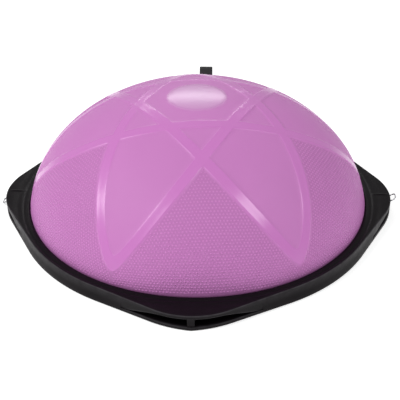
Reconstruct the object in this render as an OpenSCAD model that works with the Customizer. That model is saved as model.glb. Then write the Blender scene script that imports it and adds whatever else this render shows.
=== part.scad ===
// Balance dome trainer: an inflated half dome clamped into a stiff round base
// with four hand-grip lobes. All sizes are in millimetres, +Z is up, and the
// origin is on the floor under the centre of the dome.

/* [Base outline] */
// Radius of the round part of the base, between the lobes
ring_r = 294; // [293:0.5:296]
// Radius of the round part above the shoulder
top_r = 291.5; // [291:0.5:292.5]
// Distance from the centre to the pointed tip of a lobe's lower lip
tip_r = 321; // [319.5:0.5:323]
// Distance from the centre to the rounded tip of a lobe's grip bar
bar_tip_r = 319; // [318:0.5:319.5]
// Angle between the side of a lobe's lower lip and its tip line, in degrees
flank_angle = 28.3; // [27.5:0.1:29.5]
// The same angle for the grip bar above the lip, in degrees
bar_flank = 29.8; // [29:0.1:30.5]
// Angle each side of the lower lip falls back from its point, in degrees
point_angle = 7; // [4:0.5:9]
// Angle each side of the grip bar falls back from its tip, in degrees
bar_angle = 0; // [0:0.5:2]

/* [Base section] */
// Gap between the floor and the underside of the base
foot_gap = 1; // [0.8:0.1:1.5]
// Height of the top ridge of the base above the floor
rim_h = 25; // [24.5:0.1:26]
// Radius of the opening the dome rises through, at its narrowest
mouth_r = 272.5; // [272:0.1:273]
// Radius of the same opening at the top of the base
brim_r = 276.6; // [276.4:0.1:277]
// Thickness of the base's outer wall
wall_t = 5; // [4.8:0.1:5.2]

/* [Hand grips] */
// Height of the top of a lobe's lower lip
lip_top = 6.2; // [6:0.1:7]
// Height of the grip opening at its middle
grip_h = 13.2; // [12.8:0.1:13.6]
// Distance from the middle of a grip opening to its pointed end
grip_half = 101; // [96:1:104]
// Distance from the middle over which a grip opening keeps its full height
grip_flat = 40; // [36:1:44]
// Width of the post in the middle of a grip opening
post_w = 11; // [10:0.5:12]

/* [Dome] */
// Radius of the dome's arch at the floor
dome_r = 276.9; // [276:0.1:277]
// Height of the dome's top above the floor
dome_rise = 203.2; // [190:0.2:210]
// Radius of the dome's neck inside the base
neck_r = 270; // [269.4:0.2:270]
// Wall thickness of the dome
dome_t = 3; // [2.5:0.1:3.5]
// Radius of the raised round pad on top of the dome
pad_r = 48; // [40:1:55]
// Height of the raised round pad
pad_t = 0.8; // [0.5:0.1:1.2]

/* [Dome bands] */
// Distance from the centre of the dome to a band's outer tip, seen from above
band_tip_out = 270.8; // [268:0.2:272]
// Distance from the centre of the dome to a band's inner tip, seen from above
band_tip_in = 261.4; // [258:0.2:263]
// Half width across a band's outer edge
band_half_out = 88; // [84:0.2:90]
// Half width across a band's inner edge
band_half_in = 70.4; // [67:0.2:73]
// Height a band stands above the dome
band_t = 0.7; // [0.4:0.1:1]
// Turn of the band pattern about the vertical, in degrees
band_turn = 4.8; // [0:0.1:30]

/* [Underside] */
// Number of screws that clamp the dome's edge
screw_count = 16; // [8:8:16]
// Radius of the circle the clamp screws stand on
screw_circle = 281; // [280.5:0.1:281.5]
// Radius of a foot under a lobe
foot_r = 10; // [8:0.5:10.5]
// Radius of the valve well in the platform
well_r = 22; // [20:1:24]
// Radius of the valve plug's stem
plug_r = 5; // [4.5:0.1:5.5]

/* [Band loops] */
// Wire radius of a band loop
wire_r = 1.25; // [1:0.05:1.4]
// Distance from a loop's hinge to its outer bar
loop_len = 17; // [15:0.5:18]
// Tilt of each loop from level: the right one up, the left one down, in degrees
loop_tilt = 34; // [20:1:36]
// Radius of a loop's hinge pin
loop_pin_r = 1.6; // [1.4:0.05:1.8]

/* [Carry strap] */
// Width of the strap's webbing
strap_w = 24; // [20:1:25]
// Thickness of the strap's webbing
strap_t = 2; // [1.8:0.1:2.2]
// Height of the top of the strap's hand loop above the floor
strap_top = 115; // [100:1:122]
// Outer radius of the round end of the hand loop
strap_bow = 15; // [13:0.5:15.5]
// Radius of the strap's hinge pin
strap_pin_r = 2.5; // [2.2:0.1:2.6]

/* [Hidden] */
$fn = 96;
steps = 12;
running = 0.06;
lobe_turns = [0, 90, 180, 270];
// Shoulder level between the pointed lower lip and the rounded grip bar
shoulder_z = 10;
grip_top = lip_top + grip_h;
cavity_r = ring_r - wall_t;
brim_z = 24.4;
neck_z = 15;
bulge_z = 23.4;
band_foot_z = 30;
lip_out_r = mouth_r + 3.7;
shelf_z = 10.2;
clamp_top = 5.9;
plate_top = 5;
plate_r = cavity_r - 1.5;
rib_top = 8.2;
hub_r = well_r + 3;
boss_r = 4.2;
screw_r = 1.75;
head_r = 3.8;
head_h = 2.2;
lobe_foot_at = 305.5;
plate_foot_at = 258;
plate_foot_r = 12;
foot_stem_r = 3;
band_flat = 2.6;
out_power = 0.59;
in_power = 0.66;
loop_at = 314;
loop_z = 13.2;
loop_leg = 7.75;
loop_bend = 5;
eye_r = 3.4;
eye_in = post_w / 2 + 0.5;
eye_w = 3.5;
strap_at = 306;
strap_z = 13.5;
strap_x = 8;
notch_half = strap_w / 2 + 2;
ear_w = 6;
ear_out = 312;
notch_r = 297;
strap_eye_r = strap_pin_r + running + strap_t;
strap_mid_z = strap_top - strap_bow;
strap_apex_z = 38;

// Half of a lobe's edge, from its tip to where it meets the round part
function flank(ring, tip, v, a) = let (
    r = (ring - tip * cos(a)) / (1 - cos(a - v))
) [for (i = [0 : steps]) let (p = v + (a - v) * i / steps)
    [tip - r * (cos(v) - cos(p)), r * (sin(p) - sin(v))]];

// One quarter of the base's edge: a lobe with a round stretch after it
function quarter(ring, tip, v, a) = let (half = flank(ring, tip, v, a)) concat(
    [for (i = [steps : -1 : 1]) [half[i][0], -half[i][1]]],
    half,
    [for (i = [0 : 8]) let (p = a + (90 - 2 * a) * i / 8)
        [ring * cos(p), ring * sin(p)]]
);

function turned(pts, t) = [for (p = pts)
    [p[0] * cos(t) - p[1] * sin(t), p[0] * sin(t) + p[1] * cos(t)]];

function outline(ring, tip, v, a) =
    [for (t = lobe_turns) each turned(quarter(ring, tip, v, a), t)];

// Height of the grip opening at a distance along it
function grip_at(w) = let (
    t = min(max((abs(w) - grip_flat) / (grip_half - grip_flat), 0), 1)
) grip_h * (1 - t * t * (3 - 2 * t));

// Edge of an upright drop shape: a point below a round top
function drop(r, mid, apex) = let (b = asin(r / (mid - apex))) concat(
    [[0, apex]],
    [for (i = [0 : 24]) let (p = -b + (180 + 2 * b) * i / 24)
        [r * cos(p), mid + r * sin(p)]]
);

// Points along an arch that is rx wide at the floor and rz high, up from a level
function arch(rx, rz, level, n) = let (low = asin(level / rz))
    [for (i = [0 : n]) let (p = low + (90 - low) * i / n) [rx * cos(p), rz * sin(p)]];

// The same points from the last to the first
function reversed(pts) = [for (i = [len(pts) - 1 : -1 : 0]) pts[i]];

// The space the dome and the platform take out of the base moulding
module mouth_cut() {
    rotate_extrude($fn = 180)
        polygon([
            [0, -1],
            [cavity_r, -1],
            [cavity_r, rim_h - 4.2],
            [lip_out_r, 16],
            [lip_out_r, shelf_z],
            [mouth_r, shelf_z],
            [mouth_r, neck_z + 1.5],
            [brim_r - 0.6, brim_z - 0.8],
            [brim_r, brim_z],
            [brim_r + 1.4, rim_h - 0.2],
            [brim_r + 7.4, rim_h - 0.2],
            [brim_r + 9.6, rim_h - 0.9],
            [brim_r + 11.8, rim_h],
            [brim_r + 11.8, rim_h + 2],
            [0, rim_h + 2]
        ]);
}

// One grip opening, cut from outside up to the round wall behind it
module grip_cut() {
    difference() {
        translate([275, 0, 0])
            rotate([90, 0, 90])
            linear_extrude(60)
            polygon(concat(
                [for (i = [-20 : 20]) let (w = grip_half * i / 20)
                    [w, lip_top + grip_at(w)]],
                [[grip_half * 0.9, lip_top], [-grip_half * 0.9, lip_top]]
            ));
        cylinder(r = cavity_r + 2.6, h = 60, center = true, $fn = 180);
    }
}

// The upright post in the middle of a grip opening
module grip_post() {
    translate([cavity_r + 1.6, -post_w / 2, lip_top - 1])
        cube([bar_tip_r - 0.4 - cavity_r - 1.6, post_w, grip_h + 2]);
}

// The two ears that hold the carry strap's pin
module strap_ears() {
    for (side = [-1, 1])
        translate([strap_x + side * (notch_half + ear_w / 2), 0, 0])
            translate([-ear_w / 2, cavity_r + 1.6, lip_top - 1])
            cube([ear_w, ear_out - cavity_r - 1.6, grip_h + 2]);
}

// A boss under the base's top skin for a clamp screw
module screw_boss() {
    translate([screw_circle, 0, clamp_top + 0.2])
        cylinder(r = boss_r, h = 12);
}

module rim_ring() {
    color([0.045, 0.042, 0.045])
    difference() {
        union() {
            difference() {
                union() {
                    translate([0, 0, foot_gap])
                        linear_extrude(shoulder_z - foot_gap)
                        polygon(outline(ring_r, tip_r, point_angle, flank_angle));
                    translate([0, 0, shoulder_z])
                        linear_extrude(rim_h - shoulder_z)
                        polygon(outline(top_r, bar_tip_r, bar_angle, bar_flank));
                }
                mouth_cut();
                for (t = lobe_turns)
                    rotate([0, 0, t])
                        grip_cut();
            }
            for (t = [0, 180, 270])
                rotate([0, 0, t])
                    grip_post();
            strap_ears();
            for (i = [0 : screw_count - 1])
                rotate([0, 0, (i + 0.5) * 360 / screw_count])
                    screw_boss();
        }
        // Blind holes for the clamp screws
        for (i = [0 : screw_count - 1])
            rotate([0, 0, (i + 0.5) * 360 / screw_count])
                translate([screw_circle, 0, 0])
                cylinder(r = screw_r + 0.05, h = 16.4);
        // Sockets for the feet under the lobes
        for (t = lobe_turns)
            rotate([0, 0, t])
                translate([lobe_foot_at, 0, 0]) {
                    cylinder(r = foot_r + 0.2, h = foot_gap + 2.2);
                    cylinder(r = foot_stem_r + 0.1, h = 5);
                }
        // Holes for the band loops' pins
        for (t = [0, 180])
            rotate([0, 0, t])
                translate([loop_at, 0, loop_z])
                rotate([90, 0, 0])
                cylinder(r = loop_pin_r + 0.05, h = 20, center = true);
        // Notch in the rear grip bar, and the holes through its ears
        translate([strap_x - notch_half, notch_r, lip_top + 0.5])
            cube([2 * notch_half, 40, rim_h]);
        translate([strap_x, strap_at, strap_z])
            rotate([0, 90, 0])
            cylinder(r = strap_pin_r + 0.05, h = 60, center = true);
    }
}

// Stiffening ribs on the hidden side of the platform
module platform_ribs() {
    for (i = [0 : 11])
        rotate([0, 0, 15 + 30 * i])
            translate([hub_r - 1, -1.25, plate_top - 1])
            cube([220, 2.5, rib_top - plate_top + 1]);
    for (r = [95, 170, 240])
        difference() {
            translate([0, 0, plate_top - 1])
                cylinder(r = r + 1.25, h = rib_top - plate_top + 1);
            cylinder(r = r - 1.25, h = 30);
        }
}

// A shallow round groove in the underside
module grip_ring(r) {
    rotate_extrude($fn = 120)
        polygon([[r - 1.2, -1], [r - 1.2, foot_gap + 0.2], [r - 0.5, foot_gap + 0.9],
            [r + 0.5, foot_gap + 0.9], [r + 1.2, foot_gap + 0.2], [r + 1.2, -1]]);
}

module platform() {
    color([0.06, 0.058, 0.06])
    difference() {
        union() {
            translate([0, 0, foot_gap])
                cylinder(r = plate_r, h = plate_top - foot_gap, $fn = 180);
            difference() {
                translate([0, 0, plate_top - 0.5])
                    cylinder(r = plate_r, h = clamp_top - plate_top + 0.5, $fn = 180);
                cylinder(r = 262, h = 30);
            }
            platform_ribs();
            translate([0, 0, foot_gap])
                cylinder(r = hub_r, h = rib_top - foot_gap);
        }
        translate([0, 0, -1])
            cylinder(r = well_r, h = 30);
        // Counterbored holes for the clamp screws
        for (i = [0 : screw_count - 1])
            rotate([0, 0, (i + 0.5) * 360 / screw_count])
                translate([screw_circle, 0, 0]) {
                    cylinder(r = screw_r + 0.3, h = 20);
                    cylinder(r = head_r + 0.3, h = foot_gap + 0.2 + head_h);
                }
        // Shallow moulded rings that give grip when the flat side is up
        for (r = [60, 90, 130, 150, 190, 210])
            grip_ring(r);
        // Sockets for the four feet between the lobes
        for (t = lobe_turns)
            rotate([0, 0, t + 45])
                translate([plate_foot_at, 0, 0]) {
                    cylinder(r = plate_foot_r + 0.2, h = foot_gap + 1.6);
                    cylinder(r = foot_stem_r + 0.1, h = 9);
                }
    }
}

// Edge of one closed band seen from above: a long loop with two rounded sides
function band_edge(tip, half, power) = concat(
    [for (i = [0 : 28]) let (x = tip * cos(180 * i / 28))
        [x, half * pow(max(0, 1 - pow(abs(x) / tip, band_flat)), power)]],
    [for (i = [1 : 27]) let (x = -tip * cos(180 * i / 28))
        [x, -half * pow(max(0, 1 - pow(abs(x) / tip, band_flat)), power)]]
);

// One raised band, cut from a thin layer over the dome's upper part
module band(turn) {
    intersection() {
        rotate_extrude($fn = 180)
            polygon(concat(
                arch(dome_r + band_t, dome_rise + band_t, band_foot_z - 3, 40),
                reversed(arch(dome_r - 1.2, dome_rise - 1.2, band_foot_z - 3, 30))
            ));
        rotate([0, 0, turn])
            difference() {
                translate([0, 0, band_foot_z])
                    linear_extrude(200)
                    polygon(band_edge(band_tip_out, band_half_out, out_power));
                translate([0, 0, band_foot_z - 6])
                    linear_extrude(220)
                    polygon(band_edge(band_tip_in, band_half_in, in_power));
            }
    }
}

module dome() {
    color([0.80, 0.53, 0.77])
    for (t = [0, 60, 120])
        band(band_turn + t);
    color([0.80, 0.53, 0.77])
    rotate_extrude($fn = 180)
        polygon(concat(
            arch(dome_r, dome_rise, bulge_z, 48),
            reversed(arch(dome_r - dome_t, dome_rise - dome_t, bulge_z - 1, 40)),
            [
                [neck_r - dome_t, neck_z - 1],
                [neck_r - dome_t, 6.4],
                [neck_r + 2.5, 6.4],
                [neck_r + 3.5, 6.2],
                [neck_r + 5.4, 6.2],
                [neck_r + 6, 7],
                [neck_r + 6, 9.1],
                [neck_r + 5.4, 9.9],
                [neck_r + 3.5, 9.9],
                [neck_r + 2, 9.4],
                [neck_r + 0.4, 10.2],
                [neck_r, 12],
                [neck_r, neck_z]
            ]
        ));
    color([0.89, 0.75, 0.87])
        crown_pad();
}

// The raised round pad moulded on the top of the dome
module crown_pad() {
    rotate_extrude($fn = 120)
        polygon(concat(
            [for (i = [0 : 8]) let (x = pad_r * i / 8)
                [x, (dome_rise - 1) * sqrt(1 - pow(x / dome_r, 2))]],
            [for (i = [8 : -1 : 0]) let (x = pad_r * i / 8)
                [x, pad_t * min(1, 3 * (1 - x / pad_r) + 0.4)
                    + dome_rise * sqrt(1 - pow(x / dome_r, 2))]]
        ));
}

module bladder_floor() {
    color([0.72, 0.47, 0.69])
    difference() {
        translate([0, 0, rib_top + 0.1])
            cylinder(r = neck_r - dome_t - 0.5, h = 2, $fn = 180);
        cylinder(r = plug_r + 5.2, h = 40);
    }
}

module valve_seat() {
    color([0.55, 0.35, 0.53])
    rotate_extrude()
        polygon([
            [plug_r + running, 4.2],
            [plug_r + 5, 4.2],
            [plug_r + 5, rib_top + 2.2],
            [plug_r + 13, rib_top + 2.2],
            [plug_r + 13, rib_top + 3.4],
            [plug_r + 4, rib_top + 4.6],
            [plug_r + running, rib_top + 4.6]
        ]);
}

module valve_plug() {
    color([0.90, 0.89, 0.86])
    union() {
        rotate_extrude()
            polygon([
                [0, 2.3],
                [10.4, 2.3],
                [11, 2.8],
                [11, 3.6],
                [10.6, 4],
                [plug_r, 4],
                [plug_r, 12.6],
                [plug_r - 1.2, 14],
                [0, 14]
            ]);
        // Finger tab on one side of the cap
        translate([8, -3.5, 2.4])
            cube([9, 7, 1.2]);
    }
}

module clamp_screws() {
    color([0.62, 0.62, 0.64])
    for (i = [0 : screw_count - 1])
        rotate([0, 0, (i + 0.5) * 360 / screw_count])
            translate([screw_circle, 0, foot_gap + 0.1])
            difference() {
                union() {
                    cylinder(r = head_r, h = head_h);
                    cylinder(r = screw_r, h = 14);
                }
                // Cross recess in the head
                for (t = [0, 90])
                    rotate([0, 0, t])
                        translate([-2.2, -0.5, -1])
                        cube([4.4, 1, 2.2]);
            }
}

// A rubber foot: a round-edged disc with treads, and a stem that plugs into the base
module foot(r, top, stem) {
    color([0.10, 0.10, 0.11])
    difference() {
        rotate_extrude()
            polygon([
                [0, 0],
                [r - 1, 0],
                [r - 0.3, 0.4],
                [r, 1.1],
                [r, top],
                [foot_stem_r, top],
                [foot_stem_r, stem - 0.6],
                [foot_stem_r - 0.6, stem],
                [0, stem]
            ]);
        for (y = [-5, -2.5, 2.5, 5])
            translate([-r - 1, y - 0.4, -1])
                cube([2 * r + 2, 0.8, 1.5]);
    }
}

module lobe_foot(turn) {
    rotate([0, 0, turn])
        translate([lobe_foot_at, 0, 0])
        foot(foot_r, foot_gap + 2.1, 4.8);
}

module plate_foot(turn) {
    rotate([0, 0, turn])
        translate([plate_foot_at, 0, 0])
        foot(plate_foot_r, foot_gap + 1.5, 6.8);
}

module foot_front() { lobe_foot(270); }
module foot_rear() { lobe_foot(90); }
module foot_left() { lobe_foot(180); }
module foot_right() { lobe_foot(0); }
module foot_front_right() { plate_foot(315); }
module foot_rear_right() { plate_foot(45); }
module foot_rear_left() { plate_foot(135); }
module foot_front_left() { plate_foot(225); }

// A wire loop lying flat, its hinge along Y at the origin and its bar at +X
module band_loop(tilt) {
    color([0.70, 0.70, 0.72])
    translate([loop_at, 0, loop_z])
        rotate([0, -tilt, 0])
        difference() {
            union() {
                for (side = [-1, 1]) {
                    translate([0, side * (eye_in + eye_w / 2), 0])
                        rotate([90, 0, 0])
                        cylinder(r = eye_r, h = eye_w, center = true, $fn = 48);
                    translate([1, side * loop_leg, 0])
                        rotate([0, 90, 0])
                        cylinder(r = wire_r, h = loop_len - loop_bend - 1, $fn = 32);
                    translate([loop_len - loop_bend, side * (loop_leg - loop_bend), 0])
                        rotate([0, 0, side > 0 ? 0 : -90])
                        rotate_extrude(angle = 90, $fn = 64)
                        translate([loop_bend, 0])
                        circle(r = wire_r, $fn = 32);
                }
                translate([loop_len, 0, 0])
                    rotate([90, 0, 0])
                    cylinder(r = wire_r, h = 2 * (loop_leg - loop_bend), center = true, $fn = 32);
            }
            rotate([90, 0, 0])
                cylinder(r = loop_pin_r + running, h = 40, center = true, $fn = 48);
        }
}

// A headed pin along Y through a lobe's post
module loop_pin() {
    color([0.58, 0.58, 0.60])
    translate([loop_at, 0, loop_z])
        rotate([90, 0, 0]) {
            half = eye_in + eye_w + 0.4;
            cylinder(r = loop_pin_r, h = 2 * half + 0.4, center = true, $fn = 48);
            for (side = [-1, 1])
                translate([0, 0, side * (half + 0.6)])
                    cylinder(r = loop_pin_r + 1.1, h = 1.2, center = true, $fn = 48);
        }
}

module band_loop_right() { band_loop(loop_tilt); }
module band_loop_left() { rotate([0, 0, 180]) band_loop(-loop_tilt); }
module loop_pin_right() { loop_pin(); }
module loop_pin_left() { rotate([0, 0, 180]) loop_pin(); }

// A closed drop-shaped slab across the strap's width
module strap_drop(r, w, apex) {
    rotate([90, 0, 90])
        linear_extrude(w, center = true)
        polygon(drop(r, strap_mid_z, apex));
}

module carry_strap() {
    inner = strap_bow - strap_t;
    lift = (strap_mid_z - strap_apex_z) * inner / strap_bow;
    color([0.07, 0.07, 0.075])
    translate([strap_x, strap_at, 0])
        difference() {
            union() {
                difference() {
                    strap_drop(strap_bow, strap_w, strap_apex_z);
                    strap_drop(inner, strap_w + 4, strap_mid_z - lift);
                }
                translate([-strap_w / 2, -strap_t - 0.05, strap_z + 2])
                    cube([strap_w, 2 * strap_t + 0.1, 31]);
                translate([0, 0, strap_z])
                    rotate([0, 90, 0])
                    cylinder(r = strap_eye_r, h = strap_w, center = true, $fn = 64);
            }
            translate([0, 0, strap_z])
                rotate([0, 90, 0])
                cylinder(r = strap_pin_r + running, h = 60, center = true, $fn = 64);
        }
}

module strap_pin() {
    color([0.58, 0.58, 0.60])
    translate([strap_x, strap_at, strap_z])
        rotate([0, 90, 0]) {
            half = notch_half + ear_w + 0.3;
            cylinder(r = strap_pin_r, h = 2 * half + 0.4, center = true, $fn = 64);
            for (side = [-1, 1])
                translate([0, 0, side * (half + 0.7)])
                    cylinder(r = strap_pin_r + 1.3, h = 1.4, center = true, $fn = 64);
        }
}

rim_ring();
platform();
dome();
bladder_floor();
valve_seat();
valve_plug();
clamp_screws();
foot_front();
foot_rear();
foot_left();
foot_right();
foot_front_right();
foot_rear_right();
foot_rear_left();
foot_front_left();
band_loop_left();
band_loop_right();
loop_pin_left();
loop_pin_right();
carry_strap();
strap_pin();
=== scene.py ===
import math

import bmesh
import bpy
import numpy as np
from mathutils import Matrix, Vector
from mathutils.geometry import delaunay_2d_cdt


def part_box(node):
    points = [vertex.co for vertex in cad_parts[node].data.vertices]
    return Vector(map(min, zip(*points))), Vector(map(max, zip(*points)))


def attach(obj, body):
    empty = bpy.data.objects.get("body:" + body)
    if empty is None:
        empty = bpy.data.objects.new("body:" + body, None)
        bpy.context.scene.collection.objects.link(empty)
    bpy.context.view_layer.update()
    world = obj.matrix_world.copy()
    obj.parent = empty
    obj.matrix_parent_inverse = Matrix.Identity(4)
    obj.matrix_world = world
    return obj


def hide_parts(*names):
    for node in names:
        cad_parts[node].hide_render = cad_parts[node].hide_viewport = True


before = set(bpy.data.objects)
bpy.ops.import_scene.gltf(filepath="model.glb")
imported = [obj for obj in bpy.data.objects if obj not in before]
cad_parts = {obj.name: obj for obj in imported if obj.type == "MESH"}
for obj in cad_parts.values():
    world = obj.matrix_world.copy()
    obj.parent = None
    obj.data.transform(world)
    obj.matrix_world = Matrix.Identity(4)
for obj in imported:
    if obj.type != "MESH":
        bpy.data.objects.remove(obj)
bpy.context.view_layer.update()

# Lengths below are millimetres; a vertex is turned into metres where it is stored.
MM = 0.001
FULL_TURN = 2 * math.pi


def box_mm(name):
    """A CAD node's lowest and highest corners, in millimetres."""
    low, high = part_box(name)
    return [round(v / MM, 3) for v in low], [round(v / MM, 3) for v in high]


def turned(x, y, angle):
    """A plan position turned about the upright axis."""
    c, s = math.cos(angle), math.sin(angle)
    return x * c - y * s, x * s + y * c


def new_object(name, verts, faces, smooth=True):
    mesh = bpy.data.meshes.new(name)
    mesh.from_pydata([tuple(v) for v in verts], [], [tuple(f) for f in faces])
    mesh.validate()
    mesh.update()
    if smooth:
        mesh.polygons.foreach_set("use_smooth", [True] * len(mesh.polygons))
    obj = bpy.data.objects.new(name, mesh)
    bpy.context.scene.collection.objects.link(obj)
    return obj


def face_outwards(obj):
    bm = bmesh.new()
    bm.from_mesh(obj.data)
    bmesh.ops.recalc_face_normals(bm, faces=bm.faces)
    bm.to_mesh(obj.data)
    bm.free()


def add_attribute(obj, name, values):
    att = obj.data.attributes.new(name, "FLOAT", "POINT")
    att.data.foreach_set("value", np.asarray(values, np.float32))


def bridge(faces, ring, after):
    """Quads between two closed rows of points of the same length."""
    count = len(ring)
    for k in range(count):
        k2 = (k + 1) % count
        faces.append((ring[k], after[k], after[k2], ring[k2]))


def smooth(t):
    """A soft step from 0 to 1 as t goes from 0 to 1."""
    t = min(max(t, 0.0), 1.0)
    return t * t * (3 - 2 * t)


# ---------------------------------------------------------------- dome shape

# The dome is an elliptical arch with a low flat pad on its top
PAD_R = 48.0
PAD_T = 0.8
PAD_FADE = 3.0
DOME_R = 276.9
DOME_RISE = box_mm("dome")[1][2] - PAD_T
# Below this height the skin turns in to its neck
BULGE_Z = 23.4
WALL = 3.0

# Raised bands: three long closed loops. A shape is (half length, half width, roundness)
LOOPS = 3
BAND_TURN = math.radians(4.8)
BAND_POWER = 2.6
BAND_OUT = (270.8, 88.0, 0.59)
BAND_IN = (261.4, 70.4, 0.66)
BAND_T = 0.7
BAND_ROUND = 1.8
# Depth at which the band's look starts, counted inwards from its edge, and the width it fades over
BAND_LOOK = (-0.4, 1.2)
EDGE_POINTS = 90
# A fine bead runs just inside the outer edge of each band
BEAD_T = 0.28
BEAD_IN = 1.6
BEAD_W = 1.1
BEAD_FADE = (4.0, 3.0)

# Distance along a meridian from the top, as a table against the angle and the plan radius
ARC_T = np.linspace(0.0, math.acos(BULGE_Z / DOME_RISE), 4001)
ARC_R = DOME_R * np.sin(ARC_T)
ARC_RATE = np.hypot(DOME_R * np.cos(ARC_T), DOME_RISE * np.sin(ARC_T))
ARC_S = np.concatenate([[0.0], np.cumsum((ARC_RATE[1:] + ARC_RATE[:-1]) / 2 * np.diff(ARC_T))])
ARC_END = float(ARC_S[-1])


def dome_normal(x, y, z):
    n = np.stack([x / DOME_R**2, y / DOME_R**2, z / DOME_RISE**2], -1)
    return n / np.maximum(np.linalg.norm(n, axis=-1, keepdims=True), 1e-12)


def spread(x, y):
    """Plan position to a flat map whose radius is the distance along the surface."""
    r = np.hypot(x, y)
    s = np.interp(r, ARC_R, ARC_S)
    k = np.where(r > 1e-9, s / np.maximum(r, 1e-9), 1.0)
    return x * k, y * k


def gather(u, v):
    """The flat map back to a point on the dome."""
    s = np.hypot(u, v)
    t = np.interp(s, ARC_S, ARC_T)
    r = DOME_R * np.sin(t)
    k = np.where(s > 1e-9, r / np.maximum(s, 1e-9), 1.0)
    return u * k, v * k, DOME_RISE * np.cos(t)


def band_edge(shape, turn):
    """One closed edge of a band, on the flat map."""
    half_length, half_width, power = shape
    x = half_length * np.cos(np.linspace(0.0, math.pi, EDGE_POINTS))
    y = half_width * np.clip(1.0 - (np.abs(x) / half_length) ** BAND_POWER, 0.0, None) ** power
    x = np.concatenate([x, -x[1:-1]])
    y = np.concatenate([y, -y[1:-1]])
    return np.stack(spread(*turned(x, y, turn)), -1)


BAND_TURNS = [BAND_TURN + math.radians(180.0 / LOOPS * k) for k in range(LOOPS)]
EDGES_OUT = [band_edge(BAND_OUT, turn) for turn in BAND_TURNS]
EDGES_IN = [band_edge(BAND_IN, turn) for turn in BAND_TURNS]


def edge_distance(px, py, loop):
    """Signed distance from points on the flat map to a closed line, negative inside."""
    a = loop
    b = np.roll(loop, -1, axis=0)
    d = b - a
    length = np.maximum((d**2).sum(1), 1e-12)
    best = np.full(len(px), 1e9)
    inside = np.zeros(len(px), bool)
    for i in range(len(a)):
        wx, wy = px - a[i, 0], py - a[i, 1]
        t = np.clip((wx * d[i, 0] + wy * d[i, 1]) / length[i], 0.0, 1.0)
        best = np.minimum(best, (wx - t * d[i, 0]) ** 2 + (wy - t * d[i, 1]) ** 2)
        dy = d[i, 1] if abs(d[i, 1]) > 1e-12 else 1e-12
        spans = (a[i, 1] > py) != (b[i, 1] > py)
        inside ^= spans & (px < d[i, 0] * (py - a[i, 1]) / dy + a[i, 0])
    return np.where(inside, -1.0, 1.0) * np.sqrt(best)


def round_step(d, width):
    """A rounded step from 0 to 1 as d goes from 0 to width."""
    t = np.clip(d / width, 0.0, 1.0)
    return np.sqrt(np.clip(1.0 - (1.0 - t) ** 2, 0.0, 1.0)) * t * (2 - t)


def dome_relief(u, v):
    """Height above the plain dome, how much of a point is band, how much is pad, and how far
    it lies outside the bands."""
    depth = np.full(len(u), -1e9)
    bead = np.zeros(len(u))
    outside = np.full(len(u), 1e9)
    for outer, inner in zip(EDGES_OUT, EDGES_IN):
        from_outer = edge_distance(u, v, outer)
        here = np.minimum(-from_outer, edge_distance(u, v, inner))
        depth = np.maximum(depth, here)
        near = np.exp(-(((-from_outer - BEAD_IN) / BEAD_W) ** 2))
        bead = np.maximum(bead, near * (here > -3))
        outside = np.minimum(outside, from_outer)
    height = BAND_T * round_step(depth + 0.2, BAND_ROUND)
    start, length = BEAD_FADE
    height += BEAD_T * bead * np.clip(1.0 - np.clip(depth - start, 0.0, length) / length, 0.0, 1.0)
    pad_s = float(np.interp(PAD_R, ARC_R, ARC_S))
    pad = np.clip((pad_s - np.hypot(u, v)) / PAD_FADE, 0.0, 1.0)
    pad = pad * pad * (3 - 2 * pad)
    height = np.maximum(height, PAD_T * pad)
    start, length = BAND_LOOK
    return height, np.clip((depth - start) / length, 0.0, 1.0), pad, outside


# ---------------------------------------------------------------- dome skin

SKIN_PITCH = 4.1
ROW_STEP = 0.866
# Rows of points laid beside each band edge, so that its step is sharp
BESIDE_OUT = (-3.4, -2.2, -1.2, -0.4, 0.3)
BESIDE_IN = (-0.3, 0.4, 1.2, 2.2)
BESIDE_GAP = 3.4
# Lattice points keep clear of those rows and of the lower edge; row points keep apart
CLEAR_CELL = 2.6
CROWD_CELL = 0.8
LATTICE_MARGIN = 2.6
ROWS_MARGIN = 1.5
RIM_COUNT = 720

# Profile below the bulge: the neck, the clamped bead and the way back up inside
NECK = (
    (274.5, 21.6), (273.2, 19.2), (271.6, 16.8), (270.4, 15.0), (270.0, 13.6), (270.0, 11.8),
    (270.4, 10.3), (272.0, 9.4), (274.0, 9.9), (275.5, 9.6), (276.0, 8.0), (275.4, 6.5),
    (273.5, 6.3), (268.0, 6.5), (267.0, 8.0), (267.0, 14.0), (268.4, 16.4), (270.4, 19.4),
)
LINING_ROWS = 12
# The pad's painted highlight, and a little of its gloss, weakens from its middle towards its edge, by
# this share and this power
PAD_HIGHLIGHT_FADE = 0.62
PAD_HIGHLIGHT_POWER = 2.2
FAR_OUTSIDE = 50.0


def cell_of(point, size):
    return int(math.floor(point[0] / size)), int(math.floor(point[1] / size))


def beside(loop, offsets):
    """Rows of points along a closed line, each moved sideways by one of the offsets."""
    closed = np.vstack([loop, loop[:1]])
    total = np.concatenate([[0.0], np.cumsum(np.hypot(*np.diff(closed, axis=0).T))])
    s = np.linspace(0.0, total[-1], int(total[-1] / BESIDE_GAP), endpoint=False)
    ahead = (s + 0.5) % total[-1]
    x, y = (np.interp(s, total, closed[:, k]) for k in (0, 1))
    dx = np.interp(ahead, total, closed[:, 0]) - x
    dy = np.interp(ahead, total, closed[:, 1]) - y
    length = np.hypot(dx, dy)
    nx, ny = dy / length, -dx / length
    return [np.stack([x + nx * o, y + ny * o], -1) for o in offsets]


def skin_lattice():
    """An even lattice of points over the flat map."""
    rows = int(ARC_END / (SKIN_PITCH * ROW_STEP)) + 2
    cols = int(ARC_END / SKIN_PITCH) + 2
    points = []
    for j in range(-rows, rows + 1):
        y = j * SKIN_PITCH * ROW_STEP
        for i in range(-cols, cols + 1):
            x = (i + 0.5 * (j % 2)) * SKIN_PITCH
            if x * x + y * y < (ARC_END - LATTICE_MARGIN) ** 2:
                points.append((x, y))
    return points


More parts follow.
